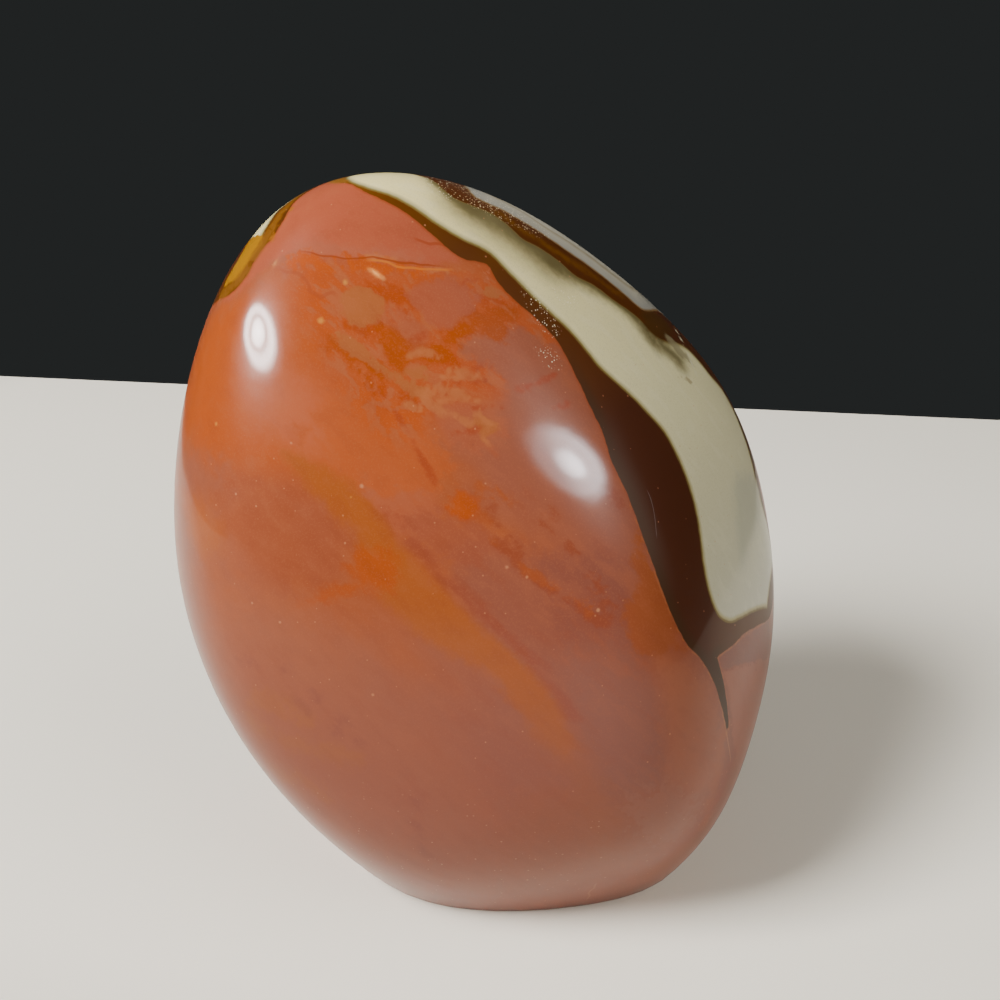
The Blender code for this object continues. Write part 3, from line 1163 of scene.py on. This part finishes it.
# Under the peak the threads swirl, so there the stretched coordinates are bent by slow noise.
SWIRL = 5.0 * MM
SWIRL_SIZE = 14 * MM
bend = put(tree, "ShaderNodeTexNoise", place, None, 1 / SWIRL_SIZE, 1.0).outputs["Color"]
bent = vector_maths(tree, "SUBTRACT", bend, (0.5, 0.5, 0.5))
swirl = vector_maths(tree, "MULTIPLY_ADD", bent, (SWIRL, SWIRL, SWIRL), flow)

clouds = grain(9.0, flow)
swells = grain(2.6, detail=1.0)
streaks = grain(1.3, flow, 4.0)
threads = grain(0.9, swirl, 4.0)
lumps = grain(0.7)
dust = grain(0.16, detail=2.0)

# Grain that moves the edges of the waves, from -1 to 1.
long_grain = maths(tree, "MULTIPLY_ADD", streaks, 1.2, -1.0)
edge_grain = maths(tree, "MULTIPLY_ADD", lumps, 0.8, long_grain)
print("nodes after the grain:", len(tree.nodes))


# %% Helpers that lay a wave and a vein
def roughened(depth, ragged):
    """A depth whose zero wanders by up to that many millimetres."""
    return maths(tree, "MULTIPLY_ADD", edge_grain, ragged, depth)


def lay_waves(under, waves, within=None):
    for wave in waves:
        depth = roughened(stored(wave.name), wave.ragged)
        amount = fade(tree, depth, -wave.soft, wave.soft, 0.0, wave.strength)
        if within:
            amount = both(amount, within)
        under = paint(under, wave.colour, amount)
    return under


# Shares of a vein's width between which it fades, and of its length over which an end runs out.
VEIN_EDGE = (0.8, 0.3)
VEIN_END = 0.15


def lay_vein(under, vein):
    beside_it = stored(vein.name + "_side")
    along = stored(vein.name + "_along")
    wobble = maths(tree, "MULTIPLY_ADD", swells, 2 * vein.wavy, -vein.wavy)
    moved = maths(tree, "ABSOLUTE", maths(tree, "ADD", beside_it, wobble))
    line = fade(tree, moved, *(share * vein.width for share in VEIN_EDGE))
    ends = both(fade(tree, along, 0.0, VEIN_END), fade(tree, along, 1.0, 1.0 - VEIN_END))
    return paint(under, vein.colour, both(line, ends, vein.strength))


# %% The red ground
GROUND = (
    (0.1, (0.225, 0.067, 0.037)),
    (0.5, (0.240, 0.066, 0.031)),
    (0.9, (0.270, 0.064, 0.020)),
)
SWIRL_ORANGE = (0.33, 0.054, 0.006)
THREAD_CLAY = (0.29, 0.076, 0.028)
BRICK_STREAK = (0.20, 0.040, 0.014)
CLAY_STREAK = (0.34, 0.105, 0.046)
CLAY_DUST = (0.34, 0.110, 0.050)
PAINTED_SHADE_LOW_DOWN = (0.155, 0.060, 0.056)

colour = ramp(tree, clouds, GROUND)
colour = lay_waves(colour, BROAD_WAVES)
in_swirl = fade(tree, stored("swirl"), -1.5, 2.0)
colour = paint(colour, SWIRL_ORANGE, both(in_swirl, 0.75))
in_threads = fade(tree, threads, 0.55, 0.25, 0.0, 0.85)
colour = paint(colour, THREAD_CLAY, both(in_threads, in_swirl))
colour = lay_waves(colour, SWIRL_WAVES + HIDDEN_WAVES)
colour = paint(colour, BRICK_STREAK, fade(tree, streaks, 0.60, 1.0, 0.0, 0.16))
colour = paint(colour, CLAY_STREAK, fade(tree, streaks, 0.36, 0.0, 0.0, 0.12))
colour = paint(colour, CLAY_DUST, fade(tree, dust, 0.60, 1.0, 0.0, 0.20))
# Painted shade: the red goes darker and more mauve towards the foot, from 50 mm down to 20 mm up.
colour = paint(colour, PAINTED_SHADE_LOW_DOWN, fade(tree, height, 0.050, 0.020, 0.0, 0.40))
for vein in VEINS:
    colour = lay_vein(colour, vein)
print("nodes after the red ground:", len(tree.nodes))

# %% [markdown]
# The walls are iron oxide, which shows nearly black where it is thick and honey-brown where it
# is thin. How thick a wall is at any point is simply the depth to one side plus the depth to
# the other, and a ramp turns that into the colour. A pale orange rim runs along its warm side,
# and an olive haze leads from it into the cream.

# %% The brown walls
WALL_SHADES = (
    (0.3, (0.120, 0.043, 0.005)),
    (0.9, (0.090, 0.029, 0.003)),
    (2.0, (0.076, 0.022, 0.003)),
    (3.6, (0.072, 0.021, 0.005)),
    (6.0, (0.058, 0.016, 0.006)),
)
WALL_OLIVE = (0.040, 0.022, 0.008)
WALL_PAINTED_GLINT_HAZE = (0.080, 0.050, 0.036)
PALE_RIM = (0.36, 0.120, 0.040)
RED_RIM = (0.25, 0.048, 0.010)

to_red = roughened(stored("cap_depth"), 0.08)
to_cream = roughened(stored("cream_depth"), 0.05)
to_back = roughened(stored("back_depth"), 0.10)
from_far_side = maths(tree, "MINIMUM", to_red, maths(tree, "MULTIPLY", to_back, -1.0))
thickness = maths(tree, "SUBTRACT", from_far_side, to_cream)
wall = ramp(tree, thickness, WALL_SHADES)
olive = both(fade(tree, to_red, 1.6, 0.2), fade(tree, thickness, 2.0, 4.5), 0.6)
wall = paint(wall, WALL_OLIVE, olive)
# Painted highlight: a grey haze round the right glint, laid on the wall near its red side, 40 to 60
# mm up.
painted_haze_band = both(fade(tree, height, 0.040, 0.048), fade(tree, height, 0.060, 0.052))
wall = paint(wall, WALL_PAINTED_GLINT_HAZE, both(fade(tree, to_red, 3.2, 0.6), painted_haze_band, 0.55))
wall = lay_vein(wall, WALL_SCRATCH)

rim = both(fade(tree, to_red, -0.28, -0.12), fade(tree, height, 0.060, 0.045))
colour = paint(colour, PALE_RIM, both(rim, fade(tree, lumps, 0.25, 0.8), 0.5))
rim = both(fade(tree, to_red, -0.30, -0.05), fade(tree, height, 0.045, 0.060))
colour = paint(colour, RED_RIM, both(rim, 0.6))
colour = paint(colour, wall, fade(tree, to_red, -0.07, 0.07))
print("nodes after the walls:", len(tree.nodes))

# %% [markdown]
# Both pale cells are clear silica with almost no iron left in it. The cream one is greyer low
# down and lighter and warmer at the crown, partly its own tone and partly painted light from
# above, with a dark line and a paler one where it meets a wall. The back one is banded round
# its rim, as a tree is in rings, so its colour is read from its own depth.

# %% The cream cell
CREAM_TONES_AND_PAINTED_LIGHT = (
    (0.034, (0.46, 0.455, 0.36)),
    (0.056, (0.60, 0.57, 0.34)),
    (0.078, (0.70, 0.61, 0.28)),
)
CREAM_DUST = (0.40, 0.37, 0.24)
CREAM_BRUSH = (0.72, 0.70, 0.52)
CREAM_DARK_LINE = (0.16, 0.115, 0.030)
CREAM_PALE_LINE = (0.36, 0.32, 0.16)

# Partly painted light: besides its own tone, the cream is lighter towards the crown as light from
# above.
cream = ramp(tree, height, CREAM_TONES_AND_PAINTED_LIGHT)
cream = paint(cream, CREAM_DUST, fade(tree, dust, 0.55, 1.0, 0.0, 0.25))
cream = paint(cream, CREAM_BRUSH, fade(tree, streaks, 0.55, 1.0, 0.0, 0.12))
colour = paint(colour, CREAM_DARK_LINE, fade(tree, to_cream, -0.20, 0.02))
colour = paint(colour, CREAM_PALE_LINE, fade(tree, to_cream, 0.02, 0.30))
colour = paint(colour, cream, fade(tree, to_cream, 0.20, 0.75))
colour = lay_waves(colour, CREAM_HAZES, fade(tree, to_cream, -0.10, 0.15))
print("nodes after the cream:", len(tree.nodes))

# %% The banded back cell
# Each ring is the depth in mm at which it lies, and its colour.
BACK_RINGS = (
    (0.0, (0.24, 0.24, 0.20)),
    (2.2, (0.27, 0.27, 0.24)),
    (4.0, (0.40, 0.38, 0.30)),
    (5.0, (0.30, 0.26, 0.17)),
    (5.8, (0.50, 0.48, 0.38)),
    (8.5, (0.44, 0.43, 0.36)),
    (9.3, (0.33, 0.27, 0.17)),
    (10.0, (0.50, 0.47, 0.36)),
    (14.0, (0.56, 0.52, 0.40)),
    (18.0, (0.48, 0.44, 0.32)),
)
RING_WANDER = 3.0  # mm
RING_DUST = (0.36, 0.34, 0.27)
BACK_BROWN_LINE = (0.20, 0.12, 0.045)

ring_depth = maths(tree, "MULTIPLY_ADD", clouds, RING_WANDER, to_back)
rings = ramp(tree, ring_depth, BACK_RINGS)
rings = paint(rings, RING_DUST, fade(tree, dust, 0.55, 1.0, 0.0, 0.25))
colour = paint(colour, BACK_BROWN_LINE, fade(tree, to_back, -0.15, 0.05))
colour = paint(colour, rings, fade(tree, to_back, 0.05, 0.45))
colour = lay_waves(colour, PALE_WAVES)
print("nodes after the back cell:", len(tree.nodes))

# %% [markdown]
# Specks are grains of clearer quartz, most of them too small to count, and a few large enough
# to be recognised. For the small ones space is cut into cubes, and white noise draws four
# numbers for each cube: where in it the speck lies, and whether there is one. Pits crowd
# together more than that, so they come from a Voronoi texture, which is slower but lets them
# touch. The few large specks are placed one by one.

# %% Specks
class Speck(NamedTuple):
    """One round speck."""

    pixel: tuple
    size: float  # mm from its middle to its edge
    colour: tuple


PALE_SPECK = (0.46, 0.20, 0.10)
YELLOW_SPECK = (0.50, 0.20, 0.035)
DARK_FLECK = (0.05, 0.02, 0.015)
BROWN_GRAIN = (0.16, 0.05, 0.03)
FOOT_GRAIN = (0.44, 0.22, 0.13)
SPECKS = (
    Speck((362, 486), 0.30, PALE_SPECK), Speck((291, 443), 0.22, PALE_SPECK),
    Speck((351, 497), 0.20, YELLOW_SPECK), Speck((236, 494), 0.16, PALE_SPECK),
    Speck((216, 505), 0.16, PALE_SPECK), Speck((256, 506), 0.14, PALE_SPECK),
    Speck((216, 424), 0.28, YELLOW_SPECK), Speck((345, 543), 0.16, PALE_SPECK),
    Speck((280, 622), 0.18, PALE_SPECK), Speck((315, 622), 0.14, PALE_SPECK),
    Speck((252, 603), 0.16, PALE_SPECK), Speck((373, 695), 0.24, PALE_SPECK),
    Speck((321, 320), 0.45, YELLOW_SPECK), Speck((345, 282), 0.35, YELLOW_SPECK),
    Speck((507, 567), 0.28, PALE_SPECK), Speck((527, 577), 0.24, PALE_SPECK),
    Speck((598, 610), 0.24, PALE_SPECK), Speck((756, 670), 0.16, DARK_FLECK),
    Speck((658, 488), 0.12, PALE_SPECK), Speck((735, 625), 0.14, PALE_SPECK),
    Speck((747, 632), 0.14, PALE_SPECK), Speck((731, 725), 0.14, PALE_SPECK),
    Speck((670, 734), 0.14, PALE_SPECK),
)
SPECK_EDGE = (1.3, 0.3)  # shares of its size between which a speck fades
SPECK_STRENGTH = 0.8


# A speck's middle keeps this share of a cube's side away from the cube's walls.
OFF_THE_WALLS = 0.15
ROAM = 1 - 2 * OFF_THE_WALLS


def dots(distance, reach, chance, share):
    """Dots that are full in the middle and gone at their reach, there in that share of cells."""
    dot = maths(tree, "SUBTRACT", 1.0, maths(tree, "DIVIDE", distance, reach), clamp=True)
    return both(fade(tree, dot, 0.0, 0.5), maths(tree, "LESS_THAN", chance, share))


def sprinkle(spacing, size, share):
    """Specks up to size mm wide, one at most in each cube of spacing mm, in that share of cubes."""
    scale = 1 / (spacing * MM)
    scaled = vector_maths(tree, "MULTIPLY", place, (scale, scale, scale))
    cube = vector_maths(tree, "FLOOR", scaled)
    drawn = put(tree, "ShaderNodeTexWhiteNoise", cube).outputs
    roamed = vector_maths(
        tree, "MULTIPLY_ADD", drawn["Color"], (ROAM, ROAM, ROAM), (OFF_THE_WALLS,) * 3
    )
    middle = vector_maths(tree, "ADD", cube, roamed)
    distance = vector_maths(tree, "DISTANCE", scaled, middle, result="Value")
    largeness = put(tree, "ShaderNodeSeparateColor", drawn["Color"]).outputs[1]
    reach = maths(tree, "MULTIPLY", largeness, size / spacing)
    return dots(distance, reach, drawn["Value"], share)


def crowd(spacing, size, share):
    """Specks that crowd together and touch, from a Voronoi texture."""
    cells = put(tree, "ShaderNodeTexVoronoi", place, None, 1 / (spacing * MM)).outputs
    chance = put(tree, "ShaderNodeSeparateColor", cells["Color"]).outputs
    reach = maths(tree, "MULTIPLY", chance[1], size / spacing)
    return dots(cells["Distance"], reach, chance[0], share)


near_the_foot = fade(tree, height, 0.028, 0.014)
colour = paint(colour, PALE_SPECK, both(sprinkle(0.95, 0.13, 0.5), 0.5))
colour = paint(colour, BROWN_GRAIN, both(sprinkle(1.7, 0.15, 0.4), 0.4))
colour = paint(colour, FOOT_GRAIN, both(sprinkle(0.7, 0.15, 0.6), near_the_foot, 0.5))
place_in_mm = vector_maths(tree, "MULTIPLY", place, (1 / MM, 1 / MM, 1 / MM))
for speck in SPECKS:
    spot = seen_spot(*speck.pixel)[0] / MM
    distance = vector_maths(tree, "DISTANCE", place_in_mm, spot, result="Value")
    ragged = maths(tree, "MULTIPLY_ADD", lumps, speck.size / 2, distance)
    mask = fade(tree, ragged, *(share * speck.size for share in SPECK_EDGE), 0.0, SPECK_STRENGTH)
    colour = paint(colour, speck.colour, mask)
print("specks placed by hand:", len(SPECKS))

# %% Pits that sparkle
PAINTED_PIT_GLINT = (0.80, 0.74, 0.52)
pits = both(crowd(0.22, 0.11, 0.85), fade(tree, stored("pitted"), -0.6, 0.5))
# Painted highlight: the pale colour in the pits is their sparkle painted on; their roughness and
# dents are real.
colour = paint(colour, PAINTED_PIT_GLINT, both(pits, 0.8))
print("nodes after the specks:", len(tree.nodes))

# %% [markdown]
# The polish is what brings the colours out. A real polish is a glass-smooth surface over stone
# that still scatters a little, so it mirrors a lamp sharply and hangs a faint haze round it.
# Two layers of gloss give both: a clear coat with almost no roughness, and under it a weak,
# rough one. The surface also waves by a few thousandths of a millimetre, and the pits dent it.

# %% The polish
BODY_GLOSS = {"IOR": 1.54, "Specular IOR Level": 0.05}
CLEAR_COAT = {"Coat Weight": 0.28, "Coat Roughness": 0.045, "Coat IOR": 1.5}
HAZE = 0.28  # the roughness under the coat
MORE_HAZE_IN_WALLS = 0.10
MORE_HAZE_IN_PITS = 0.3
WAVE_HEIGHT = 0.002 * MM
PIT_DEPTH = 6.0  # in wave heights

shader = tree.nodes["Principled BSDF"]
for name, value in (BODY_GLOSS | CLEAR_COAT).items():
    shader.inputs[name].default_value = value
tree.links.new(colour, shader.inputs["Base Color"])
in_wall = both(fade(tree, to_red, -0.1, 0.1), fade(tree, to_cream, 0.1, -0.1))
haze = maths(tree, "MULTIPLY_ADD", in_wall, MORE_HAZE_IN_WALLS, HAZE)
haze = maths(tree, "MULTIPLY_ADD", pits, MORE_HAZE_IN_PITS, haze)
tree.links.new(haze, shader.inputs["Roughness"])

surface = maths(tree, "MULTIPLY_ADD", pits, -PIT_DEPTH, swells)
bump = put(tree, "ShaderNodeBump", 1.0, WAVE_HEIGHT)
tree.links.new(surface, bump.inputs["Height"])
for socket in ("Normal", "Coat Normal"):
    tree.links.new(bump.outputs["Normal"], shader.inputs[socket])
print("nodes in the finish:", len(tree.nodes))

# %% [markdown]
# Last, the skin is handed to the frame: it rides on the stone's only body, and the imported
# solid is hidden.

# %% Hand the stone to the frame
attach(skin, "root")
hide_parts(STONE)
